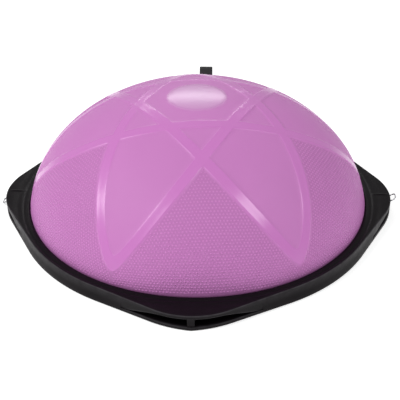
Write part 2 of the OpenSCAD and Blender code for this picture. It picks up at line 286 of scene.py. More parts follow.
def skin_points():
    """Points for the dome's skin on the flat map: an even lattice, denser along the bands."""
    lines = []
    for outer, inner in zip(EDGES_OUT, EDGES_IN):
        lines += beside(outer, BESIDE_OUT) + beside(inner, BESIDE_IN)
    lines = np.vstack(lines)
    near = {cell_of(p, CLEAR_CELL) for p in lines}
    around = [(i, j) for i in (-1, 0, 1) for j in (-1, 0, 1)]
    keep = []
    for p in skin_lattice():
        c = cell_of(p, CLEAR_CELL)
        if not any((c[0] + i, c[1] + j) in near for i, j in around):
            keep.append(p)
    # where bands cross, only one point is kept in each small cell
    taken = set()
    kept = []
    for p in lines:
        c = cell_of(p, CROWD_CELL)
        if np.hypot(p[0], p[1]) <= ARC_END - ROWS_MARGIN and c not in taken:
            taken.add(c)
            kept.append(p)
    return np.vstack([np.array(keep), np.array(kept)])


def lining_profile():
    """The inside of the skin, from just below the bulge almost to the top."""
    low = math.acos((BULGE_Z - 1.0) / (DOME_RISE - WALL))
    profile = []
    for k in range(LINING_ROWS):
        t = low * (1 - k / LINING_ROWS)
        profile.append(((DOME_R - WALL) * math.sin(t), (DOME_RISE - WALL) * math.cos(t)))
    return profile


def close_inside(verts, faces, ring, angles):
    """Carry the skin on from its lower edge, round the neck and over the inside."""
    count = len(ring)
    last = ring
    for r, z in list(NECK) + lining_profile():
        row = []
        for a in angles:
            row.append(len(verts))
            verts.append((r * math.cos(a) * MM, r * math.sin(a) * MM, z * MM))
        for k in range(count):
            m = (k + 1) % count
            faces.append((last[k], last[m], row[m], row[k]))
        last = row
    top = len(verts)
    verts.append((0.0, 0.0, (DOME_RISE - WALL) * MM))
    for k in range(count):
        faces.append((last[k], last[(k + 1) % count], top))


def dome_skin():
    angles = np.arange(RIM_COUNT) / RIM_COUNT * 2 * math.pi
    rim = np.stack([np.cos(angles), np.sin(angles)], -1) * ARC_END
    points = [Vector((p[0], p[1])) for p in np.vstack([rim, skin_points()])]
    edges = [(i, (i + 1) % RIM_COUNT) for i in range(RIM_COUNT)]
    flat, _, faces, sources, _, _ = delaunay_2d_cdt(points, edges, [], 1, 1e-5, True)
    u = np.array([p[0] for p in flat])
    v = np.array([p[1] for p in flat])
    height, band, pad, outside = dome_relief(u, v)
    x, y, z = gather(u, v)
    place = np.stack([x, y, z], -1) + dome_normal(x, y, z) * height[:, None]
    verts = [tuple(p * MM) for p in place]
    faces = [tuple(f) for f in faces]
    where = {k: i for i, source in enumerate(sources) for k in source if k < RIM_COUNT}
    close_inside(verts, faces, [where[k] for k in range(RIM_COUNT)], angles)
    obj = new_object("dome_skin", verts, faces)
    face_outwards(obj)
    rest = len(verts) - len(band)
    add_attribute(obj, "band", np.concatenate([band, np.zeros(rest)]))
    # The pad attribute fades from the pad's middle outwards, so that its painted highlight is strongest
    # there
    reach = np.clip(np.hypot(u, v) / PAD_R, 0.0, 1.0)
    pad *= 1.0 - PAD_HIGHLIGHT_FADE * reach**PAD_HIGHLIGHT_POWER
    add_attribute(obj, "pad", np.concatenate([pad, np.zeros(rest)]))
    add_attribute(obj, "outside", np.concatenate([outside, np.full(rest, FAR_OUTSIDE)]))
    return obj


# ---------------------------------------------------------------- grip dots

FANS = 6
FAN_HALF = math.radians(29.7)
DOT_PITCH = 5.05
FIRST_ROW = 95.0
# Rows stand closer together from the first plan radius to the second
ROW_GAP_HIGH = 5.25
ROW_GAP_LOW = 4.35
ROW_GAP_SPAN = (150.0, 265.0)
DOT_LOWEST = 25.6
DOT_CLEAR = 2.6
DOT_R = 1.6
DOT_MID_R = 0.95
DOT_H = 0.5
DOT_SIDES = 7
# How deep a dot's foot sits in the skin, and how high its shoulder is as a share of its height
DOT_ROOT = 0.12
DOT_SHOULDER = 0.78
ROW_REACH = 150.0
ROW_SAMPLES = 301
ROW_DOTS = 40


def lattice_row(s0):
    """Points along one row of the grip texture, a straight line laid over the dome, which
    crosses the +X meridian at distance s0 from the top, and the distances along it."""
    t = np.interp(s0, ARC_S, ARC_T)
    x0, z0 = DOME_R * math.sin(t), DOME_RISE * math.cos(t)
    nx, _, nz = dome_normal(x0, 0.0, z0)
    w = np.linspace(0.0, ROW_REACH, ROW_SAMPLES)
    # each point drops back along the row's own normal until it meets the dome
    a = nx**2 / DOME_R**2 + nz**2 / DOME_RISE**2
    b = -2 * (x0 * nx / DOME_R**2 + z0 * nz / DOME_RISE**2)
    c = w**2 / DOME_R**2
    inner = b**2 - 4 * a * c
    meets = inner > 0
    drop = np.where(meets, (-b - np.sqrt(np.clip(inner, 0, None))) / (2 * a), 0.0)
    p = np.stack([x0 - drop * nx, w, z0 - drop * nz], -1)[meets]
    return p, np.concatenate([[0.0], np.cumsum(np.linalg.norm(np.diff(p, axis=0), axis=1))])


def dot_rows():
    """Distances of the rows from the dome's top."""
    rows = []
    s = FIRST_ROW
    near, far = ROW_GAP_SPAN
    while s < ARC_END + 4:
        rows.append(s)
        r = float(np.interp(s, ARC_S, ARC_R))
        k = min(max((r - near) / (far - near), 0.0), 1.0)
        s += ROW_GAP_HIGH + (ROW_GAP_LOW - ROW_GAP_HIGH) * k
    return rows


def dot_fan():
    """Centres of the grip dots of one fan, which spreads round the +X meridian."""
    fan = []
    for j, s0 in enumerate(dot_rows()):
        p, arc = lattice_row(min(s0, ARC_END - 0.5))
        w = np.arange(-ROW_DOTS, ROW_DOTS + 1) * DOT_PITCH + (DOT_PITCH / 2 if j % 2 else 0.0)
        w = w[np.abs(w) < arc[-1]]
        x, y, z = (np.interp(np.abs(w), arc, p[:, k]) for k in range(3))
        fan.append(np.stack([x, y * np.sign(w), z], -1))
    fan = np.vstack(fan)
    angle = np.arctan2(fan[:, 1], fan[:, 0])
    return fan[(np.abs(angle) < FAN_HALF) & (fan[:, 2] > DOT_LOWEST)]


def dot_centres():
    """Centres of all the grip dots, which fill the fields between the petals."""
    fan = dot_fan()
    fans = []
    for k in range(FANS):
        x, y = turned(fan[:, 0], fan[:, 1], BAND_TURN + math.radians(360.0 / FANS * (k + 0.5)))
        fans.append(np.stack([x, y, fan[:, 2]], -1))
    p = np.vstack(fans)
    outside = dome_relief(*spread(p[:, 0], p[:, 1]))[3]
    return p[outside > DOT_CLEAR]


def grip_dots():
    p = dot_centres()
    n = dome_normal(p[:, 0], p[:, 1], p[:, 2])
    side = np.cross(n, np.array([0.0, 0.0, 1.0]))
    side /= np.maximum(np.linalg.norm(side, axis=1, keepdims=True), 1e-9)
    up = np.cross(n, side)
    top = 2 * DOT_SIDES
    place = np.empty((len(p), top + 1, 3))
    one = []
    for k in range(DOT_SIDES):
        a = k / DOT_SIDES * 2 * math.pi
        d = side * math.cos(a) + up * math.sin(a)
        place[:, k] = p + d * DOT_R - n * DOT_ROOT
        place[:, DOT_SIDES + k] = p + d * DOT_MID_R + n * DOT_H * DOT_SHOULDER
        k2 = (k + 1) % DOT_SIDES
        one.append((k, k2, DOT_SIDES + k2, DOT_SIDES + k))
        one.append((DOT_SIDES + k, DOT_SIDES + k2, top))
    place[:, top] = p + n * DOT_H
    one.append(tuple(reversed(range(DOT_SIDES))))
    faces = [tuple(q + i * (top + 1) for q in f) for i in range(len(p)) for f in one]
    return new_object("dome_grip_dots", (place.reshape(-1, 3) * MM).tolist(), faces)


# ---------------------------------------------------------------- base moulding

# Each edge of the base is a circle that swells to a lobe: lip below, grip bar above
RIM_LOW, RIM_HIGH = box_mm("rim_ring")
UNDER = RIM_LOW[2]
TOP = RIM_HIGH[2]
RING_R = 294.0
LIP_TIP = RIM_HIGH[0]
LIP_FLANK = math.radians(28.3)
LIP_POINT = math.radians(7.0)
TOP_R = 291.5
BAR_TIP = 319.0
BAR_FLANK = math.radians(29.8)
BAR_POINT = 0.0

# Grip opening between lip and bar
GRIP_BASE = 6.2
GRIP_H = 13.2
GRIP_HALF = 101.0
GRIP_FLAT = 40.0
GRIP_BACK = 291.6
POST_HALF = 5.5
# Largest radius of an opening's rounded corners, at the lip, at its back and at the bar, and
# the shares of the opening's height and depth that a corner may take
LIP_ROUND = 0.8
BACK_ROUND = 0.5
BAR_ROUND = 0.7
HEIGHT_SHARE = 0.35
BACK_HEIGHT_SHARE = 0.2
DEPTH_SHARE = 0.45

# The rear lobe has two ears and a notch for the strap; ear sides are sideways places
EAR_OUT = 312.0
NOTCH_OUT = 297.0
EARS = (-12.0, -6.0, 22.0, 28.0)

CAVITY = 289.0
BAR_SHOULDER = 23.7
WALL_MID = 10.5
OPENING_POINTS = 14

# Ring wall's heel, then the gutter round the dome and the groove for its bead, as (radius, height)
HEEL = ((CAVITY, 2.3), (CAVITY + 0.5, UNDER), (CAVITY + 1.7, UNDER))
RIDGE = 288.4
GUTTER = (
    (RIDGE, TOP), (287.2, 24.6), (286.0, 24.2), (284.8, 24.45), (283.8, 24.85), (282.6, 24.97),
    (279.4, 24.97), (278.1, 24.85), (277.2, 24.55), (276.6, 24.0), (275.8, 22.9),
)
BEAD_GROOVE = (
    (274.2, 19.8), (272.7, 16.8), (272.5, 16.0), (272.5, 11.0), (272.65, 10.4), (273.2, 10.2),
    (275.8, 10.2), (276.2, 10.6), (276.2, 15.7), (276.5, 16.1), (CAVITY - 0.3, 20.9), (CAVITY, 20.6),
)
# Rounded outer corners, as (distance in from the edge, height)
LIP_CORNER = (
    (1.0, UNDER), (0.5, UNDER + 0.04), (0.15, UNDER + 0.18), (0.0, UNDER + 0.5), (0.0, UNDER + 0.9),
)
TOP_CORNER = ((0.12, 24.2), (0.4, 24.62), (0.85, 24.9), (1.4, TOP))

# Top face of a lobe: where its points stand between the edge and the ridge, a shallow dish
# before the ridge, and a low crease outwards over the side lobes' middles
TOP_STEPS = (0.0, 0.1, 0.25, 0.4, 0.55, 0.68, 0.8, 0.9)
TOP_INSET = 1.9
# Width of the top face at which its relief starts, and the further width it grows over
RELIEF_SPAN = (2.0, 14.0)
DISH_T = 0.55
DISH_AT = 7.5
DISH_W = 4.0
FOLD_T = 0.5
FOLD_HALF = 48.0
CREST_T = 0.8
CREST_W = 2.0

# How much painted highlight each point of a section carries: the top corner, and the corners of a grip
# opening
TOP_CORNER_HIGHLIGHT = {22: 0.4, 23: 1.0, 24: 1.0, 25: 1.0, 26: 0.3}
GRIP_CORNER_HIGHLIGHT = {8: 0.3, 9: 1.0, 10: 0.5, 17: 0.4, 18: 1.0, 19: 0.5}

LOBES = 4
REAR_LOBE = 1
WALL_SECTIONS = 56
END_PLACES = [100.6, 99.6, 98.0, 95.8, 93.0, 90.0, 87.0]
MIDDLE_PLACES = [-3.6, -2.4, -1.6, -0.8, 0.8, 1.6, 2.4, 3.6]
EVEN_REACH = 84.0
EVEN_COUNT = 69
CORNER_CLEAR = 1.3
TIP_ROUND = 2.0
# Rounded vertical corners of posts and ears, as (step past the corner, how far it falls back)
POST_CORNER = ((0.0, 0.8), (0.1, 0.42), (0.35, 0.13), (0.8, 0.0))

BOSSES = 16
BOSS_R = 281.0
BOSS_PROFILE = ((1.8, 6.1), (4.0, 6.1), (4.2, 6.3), (4.2, 18.6), (1.8, 18.6))
BOSS_SIDES = 20


def flank_curve(ring, tip, point, flank):
    """Half of a lobe's edge in its own frame, as tables of sideways place, outward place and
    normal angle. The edge starts at angle point at the tip and meets the ring at angle flank."""
    r = (ring - tip * math.cos(flank)) / (1 - math.cos(flank - point))
    p = np.linspace(point, flank, 400)
    w = np.append(r * (np.sin(p) - math.sin(point)), ring * math.sin(flank))
    u = np.append(tip - r * (math.cos(point) - np.cos(p)), ring * math.cos(flank))
    return w, u, np.append(p, flank)


LIP_CURVE = flank_curve(RING_R, LIP_TIP, LIP_POINT, LIP_FLANK)
BAR_CURVE = flank_curve(TOP_R, BAR_TIP, BAR_POINT, BAR_FLANK)


def edge_at(curve, ring, theta):
    """Point and outward normal of an edge in a lobe's frame, at an angle from its middle."""
    sideways, outward, slope = curve
    if abs(theta) >= slope[-1] - 1e-9:
        n = np.array([math.cos(theta), math.sin(theta)])
        return n * ring, n
    w = ring * math.sin(theta)
    u = float(np.interp(abs(w), sideways, outward))
    # the pointed tip is rounded off in its very middle
    a = float(np.interp(abs(w), sideways, slope)) * min(abs(w) / TIP_ROUND, 1.0)
    return np.array([u, w]), np.array([math.cos(a), math.copysign(math.sin(a), w)])


def grip_height(w):
    return GRIP_H * (1.0 - smooth((abs(w) - GRIP_FLAT) / (GRIP_HALF - GRIP_FLAT)))


def on_ray(ray, profile):
    return [(ray[0] * r, ray[1] * r, z) for r, z in profile]


def inset(edge, *steps):
    """Points moved straight in from an edge, by each step's distance and at its height."""
    point, normal = edge
    moved = [(point - normal * d, z) for d, z in steps]
    return [(q[0], q[1], z) for q, z in moved]


def opening_back(kind, bar, w, corner):
    """Where a section's grip opening ends inwards."""
    point, normal = bar
    if kind == "post":
        return point - normal * (0.05 + corner)
    if kind == "ear":
        return np.array([EAR_OUT - corner, w])
    return np.array([math.sqrt(GRIP_BACK**2 - w * w), w])


def opening_points(lip, bar, back, h):
    """The outside of a section from the lip over the grip opening to the bar."""
    roof = GRIP_BASE + h
    reach = float(np.dot(lip[0] - back, lip[1]))
    e = min(LIP_ROUND, h * HEIGHT_SHARE, reach * DEPTH_SHARE)
    out = inset(lip, (0.0, GRIP_BASE - e), (0.3 * e, GRIP_BASE - 0.3 * e), (e, GRIP_BASE),
                (e + (reach - e) * 0.15, GRIP_BASE))
    reach = max(float(np.dot(bar[0] - back, bar[1])), 0.0)
    f = min(BACK_ROUND, h * BACK_HEIGHT_SHARE)
    fillet = -min(f, DEPTH_SHARE * reach)
    out += inset((back, np.array([1.0, 0.0])), (fillet, GRIP_BASE), (0.0, GRIP_BASE + f),
                 (0.0, roof - f), (fillet, roof))
    e = min(BAR_ROUND, h * HEIGHT_SHARE, reach * DEPTH_SHARE)
    low = roof + e
    out += inset(bar, (e + max(reach - e, 0.0) * 0.15, roof), (e, roof), (0.3 * e, roof + 0.3 * e),
                 (0.0, low), (0.0, low + (BAR_SHOULDER - low) * 0.15),
                 (0.0, low + (BAR_SHOULDER - low) * 0.6))
    return out


def top_face(bar, ray, w, creased):
    """Points across the top of a section, from its rounded corner to the ridge."""
    start = bar[0] - bar[1] * TOP_INSET
    end = ray * RIDGE
    span = float(np.linalg.norm(start - end))
    lobe = smooth((span - RELIEF_SPAN[0]) / RELIEF_SPAN[1])
    fold = 0.0
    if creased:
        fold = FOLD_T * max(0.0, 1.0 - abs(w) / FOLD_HALF) + CREST_T * math.exp(-((w / CREST_W) ** 2))
    out = []
    for k in TOP_STEPS:
        q = start + (end - start) * k
        dish = DISH_T * math.exp(-(((span * (1 - k) - DISH_AT) / DISH_W) ** 2)) * lobe
        crest = fold * lobe * smooth(k / 0.3) * smooth((1 - k) / 0.25)
        out.append((q[0], q[1], TOP - dish + crest))
    return out


def rim_section(theta, kind, corner, creased):
    """One closed section of the moulding, as points (outward, sideways, height) in a lobe's
    frame. kind says what stands between lip and bar: wall, slot, post, ear or notch."""
    w = RING_R * math.sin(theta)
    ray = np.array([math.cos(theta), math.sin(theta)])
    lip = edge_at(LIP_CURVE, RING_R, theta)
    bar = edge_at(BAR_CURVE, TOP_R, theta)
    if kind == "notch":
        bar = (np.array([NOTCH_OUT + corner, w]), np.array([1.0, 0.0]))
    out = on_ray(ray, HEEL) + inset(lip, *LIP_CORNER)
    if kind == "wall":
        out += inset(lip, (0.0, GRIP_BASE)) * (OPENING_POINTS - 1) + inset(bar, (0.0, WALL_MID))
    else:
        out += opening_points(lip, bar, opening_back(kind, bar, w, corner), grip_height(w))
    out += inset(bar, (0.0, BAR_SHOULDER), *TOP_CORNER)
    return out + top_face(bar, ray, w, creased) + on_ray(ray, GUTTER + BEAD_GROOVE)


def zone(w, rear):
    """What stands between lip and bar at a sideways place of an opening."""
    if not rear:
        return "post" if abs(w) < POST_HALF else "slot"
    if EARS[0] < w < EARS[1] or EARS[2] < w < EARS[3]:
        return "ear"
    return "notch" if EARS[1] < w < EARS[2] else "slot"


def rim_plan(rear):
    """Sections across one quarter of the base, as (angle, kind, corner) in order."""
    wall = np.linspace(math.asin(GRIP_HALF / RING_R), math.pi / LOBES, WALL_SECTIONS)[:-1]
    marks = EARS if rear else (-POST_HALF, POST_HALF)
    even = list(np.linspace(-EVEN_REACH, EVEN_REACH, EVEN_COUNT))
    places = [-w for w in END_PLACES] + even + END_PLACES[::-1]
    places = [w for w in sorted(places + MIDDLE_PLACES) if all(abs(w - m) > CORNER_CLEAR for m in marks)]
    rows = [(w, 1, zone(w, rear), 0.0) for w in places]
    for n, m in enumerate(marks):
        into = 1.0 if n % 2 == 0 else -1.0
        rows.append((m, -into, zone(m - into, rear), 0.0))
        for step, corner in POST_CORNER:
            rows.append((m + into * step, into, zone(m + into, rear), corner))
    rows.sort(key=lambda row: (row[0], row[1]))
    plan = [(-a, "wall", 0.0) for a in wall[::-1]]
    plan += [(math.asin(w / RING_R), kind, corner) for w, _, kind, corner in rows]
    return plan + [(a, "wall", 0.0) for a in wall]


def bosses(verts, faces):
    """The screw bosses under the top face, each a short tube."""
    for i in range(BOSSES):
        a = FULL_TURN / BOSSES * (i + 0.5)
        cx, cy = BOSS_R * math.cos(a), BOSS_R * math.sin(a)
        rings = []
        for r, z in BOSS_PROFILE:
            rings.append(range(len(verts), len(verts) + BOSS_SIDES))
            for k in range(BOSS_SIDES):
                t = FULL_TURN * k / BOSS_SIDES
                verts.append(((cx + r * math.cos(t)) * MM, (cy + r * math.sin(t)) * MM, z * MM))
        for ring, after in zip(rings, rings[1:] + rings[:1]):
            bridge(faces, ring, after)


def weld(obj, gap):
    """Merge points that coincide and drop the faces that this leaves empty."""
    bm = bmesh.new()
    bm.from_mesh(obj.data)
    bmesh.ops.remove_doubles(bm, verts=bm.verts, dist=gap)
    bmesh.ops.dissolve_degenerate(bm, edges=bm.edges, dist=gap)
    bmesh.ops.recalc_face_normals(bm, faces=bm.faces)
    for f in bm.faces:
        f.smooth = True
    bm.to_mesh(obj.data)
    bm.free()


def rim_moulding():
    verts, faces, edge, rings = [], [], [], []
    for lobe in range(LOBES):
        creased = lobe % 2 == 0
        for theta, kind, corner in rim_plan(lobe == REAR_LOBE):
            # Painted highlight along the top corner and the grip opening's corners, stored in the edge
            # attribute
            highlit = TOP_CORNER_HIGHLIGHT if kind == "wall" else {**TOP_CORNER_HIGHLIGHT, **GRIP_CORNER_HIGHLIGHT}
            section = rim_section(theta, kind, corner, creased)
            rings.append(range(len(verts), len(verts) + len(section)))
            for k, (u, w, z) in enumerate(section):
                x, y = turned(u, w, lobe * math.pi / 2)
                verts.append((x * MM, y * MM, z * MM))
                edge.append(highlit.get(k, 0.0))
    for ring, after in zip(rings, rings[1:] + rings[:1]):
        bridge(faces, ring, after)
    bosses(verts, faces)
    obj = new_object("rim_moulding", verts, faces)
    add_attribute(obj, "edge", edge + [0.0] * (len(verts) - len(edge)))
    weld(obj, 2e-6)
    return obj


# ---------------------------------------------------------------- carry strap

STRAP_LOW, STRAP_HIGH = box_mm("carry_strap")
PIN_LOW, PIN_HIGH = box_mm("strap_pin")
STRAP_X = (PIN_LOW[0] + PIN_HIGH[0]) / 2
STRAP_Y = (PIN_LOW[1] + PIN_HIGH[1]) / 2
PIN_Z = (PIN_LOW[2] + PIN_HIGH[2]) / 2
STRAP_W = STRAP_HIGH[0] - STRAP_LOW[0]
STRAP_TOP = STRAP_HIGH[2]
STRAP_T = 2.0
# How far each layer stands off the strap's middle plane, where the two are sewn together
LAYER_GAP = 0.04
BOW = 15.0
EYE_R = 2.62
# Heights between which the two layers are sewn together
SEWN = (17.0, 44.0)
SEWN_STEPS = 44
# How far below the end of the seam the hand loop's straight sides would meet
LOOP_EASE = 2.0
RUN_STEPS = 90

# Weave: step along the strap, points across it, length of a yarn, width of a rib and of a lane
WEAVE_STEP = 0.62
WEAVE_COLS = 30
YARN_LENGTH = 1.55
RIB_W = 3.2
LANE_W = 1.6

# How a yarn wanders across the strap, and how far yarns and ribs stand up from a sunk face
YARN_WANDER = 0.18
WANDER_RATE = 1.9
FACE_SUNK = 0.13
YARN_T = 0.11
RIB_T = 0.05
# The strap's edges are thinner, by this share and over this width
EDGE_THINNER = 0.55
EDGE_FADE = 0.7

STITCH_HALF = 9.2
STITCH_Z = (21.5, 41.5)
STITCH_GAP = 2.6
STITCH_R = 0.38
STITCH_PROUD = 0.05
# Where a stitch starts and ends within its own share of the line
STITCH_ENDS = (0.14, 0.86)
STITCH_SIDES = 8
# Thickness along one stitch, as (place, share of the thread's radius)
STITCH_FORM = ((0.0, 0.25), (0.12, 0.75), (0.35, 1.0), (0.65, 1.0), (0.88, 0.75), (1.0, 0.25))


def strap_path():
    """The middle line of the webbing, as (distance from the pin, height): up from the joint,
    over the hand loop, down again and round the pin. The dome is on the negative side."""
    low, high = SEWN
    half = STRAP_T / 2
    side = half + LAYER_GAP
    front = [(-side, z) for z in np.linspace(low, high, SEWN_STEPS)]
    # hand loop: the layers part, rise to a round top, and come back as a mirror image
    r = BOW - half
    mid = STRAP_TOP - BOW
    lean = math.asin(r / (mid - high + LOOP_EASE))
    top_y, top_z = -r * math.cos(lean), mid - r * math.sin(lean)
    for t in np.linspace(0.0, 1.0, RUN_STEPS)[1:]:
        front.append((-side + (top_y + half) * t**1.15, high + (top_z - high) * t))
    arch = []
    for t in np.linspace(180.0 + math.degrees(lean), -math.degrees(lean), 80)[1:-1]:
        a = math.radians(t)
        arch.append((r * math.cos(a), mid + r * math.sin(a)))
    back = [(-y, z) for y, z in front[SEWN_STEPS - 1:]][::-1]
    back += [(side, z) for z in np.linspace(high, low, SEWN_STEPS)[1:]]
    r = EYE_R + half
    lead = math.asin(min(1.0, side / r))
    eye = []
    for t in np.linspace(math.pi / 2 - lead, -1.5 * math.pi + lead, 60)[1:-1]:
        eye.append((r * math.cos(t), PIN_Z + r * math.sin(t)))
    return np.array(front + arch + back + eye)


def resample(path, step):
    """A closed line as evenly spaced points, with their distances along it."""
    pts = np.vstack([path, path[:1]])
    total = np.concatenate([[0.0], np.cumsum(np.hypot(*np.diff(pts, axis=0).T))])
    s = np.linspace(0.0, total[-1], int(round(total[-1] / step)), endpoint=False)
    return np.stack([np.interp(s, total, pts[:, 0]), np.interp(s, total, pts[:, 1])], -1), s


def weave(x, s):
    """How high a yarn stands, and how high a rib stands, at a place across and along."""
    lane = int(math.floor((x + STRAP_W / 2) / LANE_W))
    phase = s / YARN_LENGTH + 0.5 * (lane % 2) + YARN_WANDER * math.sin(x * WANDER_RATE)
    return 0.5 + 0.5 * math.cos(FULL_TURN * phase), math.cos(FULL_TURN * x / RIB_W)


def webbing_strap():
    path, along = resample(strap_path(), WEAVE_STEP)
    tangent = np.roll(path, -1, axis=0) - np.roll(path, 1, axis=0)
    tangent /= np.linalg.norm(tangent, axis=1, keepdims=True)
    normal = np.stack([-tangent[:, 1], tangent[:, 0]], -1)
    across = [c / WEAVE_COLS for c in range(WEAVE_COLS + 1)]
    outline = [(f, 1.0) for f in across] + [(1 - f, -1.0) for f in across]
    verts, faces, yarn_light_and_shade, rings = [], [], [], []
    for (y, z), (ny, nz), s in zip(path, normal, along):
        rings.append(range(len(verts), len(verts) + len(outline)))
        for f, side in outline:
            x = (f * 2 - 1) * STRAP_W / 2
            yarn, rib = weave(x, s)
            thin = 1.0 - EDGE_THINNER * math.exp(-min(f, 1 - f) * STRAP_W / EDGE_FADE)
            h = STRAP_T / 2 * thin - FACE_SUNK + YARN_T * yarn + RIB_T * (rib * 0.5 + 0.5)
            place = (STRAP_X + x, STRAP_Y + y + ny * h * side, z + nz * h * side)
            verts.append(tuple(q * MM for q in place))
            # Painted light and shade: raised yarns and ribs get a paler colour, sunk ones a darker one
            yarn_light_and_shade.append(0.35 + 0.5 * yarn + 0.15 * rib)
    for ring, after in zip(rings, rings[1:] + rings[:1]):
        bridge(faces, ring, after)
    obj = new_object("carry_webbing", verts, faces)
    face_outwards(obj)
    add_attribute(obj, "yarn", yarn_light_and_shade)
    return obj


def stitch(verts, faces, a, b):
    """One thread stitch lying proud of the webbing, from a to b."""
    a, b = Vector(a), Vector(b)
    d = (b - a).normalized()
    side = d.cross(Vector((0, 1, 0))).normalized()
    up = side.cross(d)
    rings = []
    for t, share in STITCH_FORM:
        c = a + (b - a) * t
        rings.append(range(len(verts), len(verts) + STITCH_SIDES))
        for q in range(STITCH_SIDES):
            w = FULL_TURN * q / STITCH_SIDES
            p = c + (side * math.cos(w) + up * math.sin(w)) * STITCH_R * share
            verts.append(tuple(p * MM))
    for ring, after in zip(rings, rings[1:]):
        bridge(faces, ring, after)
    faces.append(tuple(rings[0])[::-1])
    faces.append(tuple(rings[-1]))


def strap_stitching():
    """A boxed cross of stitches through the doubled part of the strap, on both faces."""
    verts, faces = [], []
    x0, x1 = STRAP_X - STITCH_HALF, STRAP_X + STITCH_HALF
    z0, z1 = STITCH_Z
    low_left, low_right, high_right, high_left = (x0, z0), (x1, z0), (x1, z1), (x0, z1)
    lines = ((low_left, low_right), (low_right, high_right), (high_right, high_left),
             (high_left, low_left), (low_left, high_right), (high_left, low_right))
    for face in (-1, 1):
        y = STRAP_Y + face * (STRAP_T + STITCH_PROUD)
        for (ax, az), (bx, bz) in lines:
            count = int(math.hypot(bx - ax, bz - az) / STITCH_GAP)
            for i in range(count):
                places = [(i + end) / count for end in STITCH_ENDS]
                stitch(verts, faces, *[(ax + (bx - ax) * t, y, az + (bz - az) * t) for t in places])
    obj = new_object("strap_stitches", verts, faces)
    face_outwards(obj)
    return obj


# ---------------------------------------------------------------- node helpers

# Part of a noise texture's values that carries most of its contrast
CONTRAST = (0.3, 0.7)


def material(name):
    mat = bpy.data.materials.new(name)
    mat.use_nodes = True
    nt = mat.node_tree
    nt.nodes.clear()
    out = nt.nodes.new("ShaderNodeOutputMaterial")
    bsdf = nt.nodes.new("ShaderNodeBsdfPrincipled")
    nt.links.new(bsdf.outputs[0], out.inputs[0])
    return mat, nt, bsdf


def feed(nt, node, **values):
    """Set or link a node's inputs. Their names are written with _ for each space."""
    for name, value in values.items():
        socket = node.inputs[name.replace("_", " ")]
        if isinstance(value, bpy.types.NodeSocket):
            nt.links.new(value, socket)
        else:
            socket.default_value = value


def noise(nt, scale, detail=3.0, rough=0.5):
    n = nt.nodes.new("ShaderNodeTexNoise")
    place = nt.nodes.new("ShaderNodeNewGeometry").outputs["Position"]
    feed(nt, n, Scale=scale, Detail=detail, Roughness=rough, Vector=place)
    return n.outputs[0]


def remap(nt, value, low, high, span=(0.0, 1.0)):
    """Turn values from span into values from low to high."""
    n = nt.nodes.new("ShaderNodeMapRange")
    feed(nt, n, Value=value, From_Min=span[0], From_Max=span[1], To_Min=low, To_Max=high)
    return n.outputs[0]


def cloud(nt, scale, low, high, detail=3.0, rough=0.5):
    """Noise that wanders between two values."""
    return remap(nt, noise(nt, scale, detail, rough), low, high, CONTRAST)


def shade(colour, share):
    return tuple(c * share for c in colour)


def mix_colour(nt, factor, a, b):
    n = nt.nodes.new("ShaderNodeMix")
    n.data_type = "RGBA"
    nt.links.new(factor, n.inputs[0])
    for index, colour in ((6, a), (7, b)):
        if isinstance(colour, tuple):
            n.inputs[index].default_value = (*colour, 1.0)
        else:
            nt.links.new(colour, n.inputs[index])
    return n.outputs[2]


def mix_value(nt, factor, a, b):
    n = nt.nodes.new("ShaderNodeMix")
    nt.links.new(factor, n.inputs[0])
    nt.links.new(a, n.inputs[2])
    n.inputs[3].default_value = b
    return n.outputs[0]


def maths(nt, operation, a, b):
    n = nt.nodes.new("ShaderNodeMath")
    n.operation = operation
    for socket, value in zip(n.inputs, (a, b)):
        if isinstance(value, float):
            socket.default_value = value
        else:
            nt.links.new(value, socket)
    return n.outputs[0]


def bump(nt, bsdf, height, strength, distance):
    """Add relief on top of any relief that the surface already has."""
    n = nt.nodes.new("ShaderNodeBump")
    feed(nt, n, Height=height, Strength=strength, Distance=distance)
    for before in bsdf.inputs["Normal"].links:
        nt.links.new(before.from_socket, n.inputs["Normal"])
    nt.links.new(n.outputs[0], bsdf.inputs["Normal"])


def attribute(nt, name):
    n = nt.nodes.new("ShaderNodeAttribute")
    n.attribute_name = name
    return n.outputs["Fac"]


def paint(obj, mat):
    obj.data.materials.clear()
    obj.data.materials.append(mat)


# ---------------------------------------------------------------- materials

DOME_COLOUR = (0.57, 0.211, 0.52)
BAND_COLOUR = (0.585, 0.195, 0.535)
PAD_HIGHLIGHT_COLOUR = (0.60, 0.335, 0.58)
BASE_COLOUR = (0.0042, 0.0028, 0.0040)
# Colour of the painted highlight on the base's rounded edges
EDGE_HIGHLIGHT_COLOUR = (0.045, 0.041, 0.046)
PLATE_COLOUR = (0.017, 0.0165, 0.017)
RUBBER_DARK = (0.022, 0.022, 0.023)
RUBBER_PALE = (0.045, 0.044, 0.043)
YARN_SHADED = (0.005, 0.005, 0.0055)
YARN_LIT = (0.019, 0.0175, 0.0195)
YARN_DUSTY = (0.028, 0.026, 0.029)
THREAD_DARK = (0.05, 0.05, 0.052)
THREAD_PALE = (0.09, 0.088, 0.092)
BLADDER_COLOUR = (0.42, 0.17, 0.39)
SEAT_COLOUR = (0.27, 0.10, 0.25)
PLUG_COLOUR = (0.74, 0.72, 0.67)
SCREW_COLOUR = (0.52, 0.52, 0.53)
PIN_COLOUR = (0.5, 0.5, 0.51)
LOOP_COLOUR = (0.62, 0.62, 0.64)


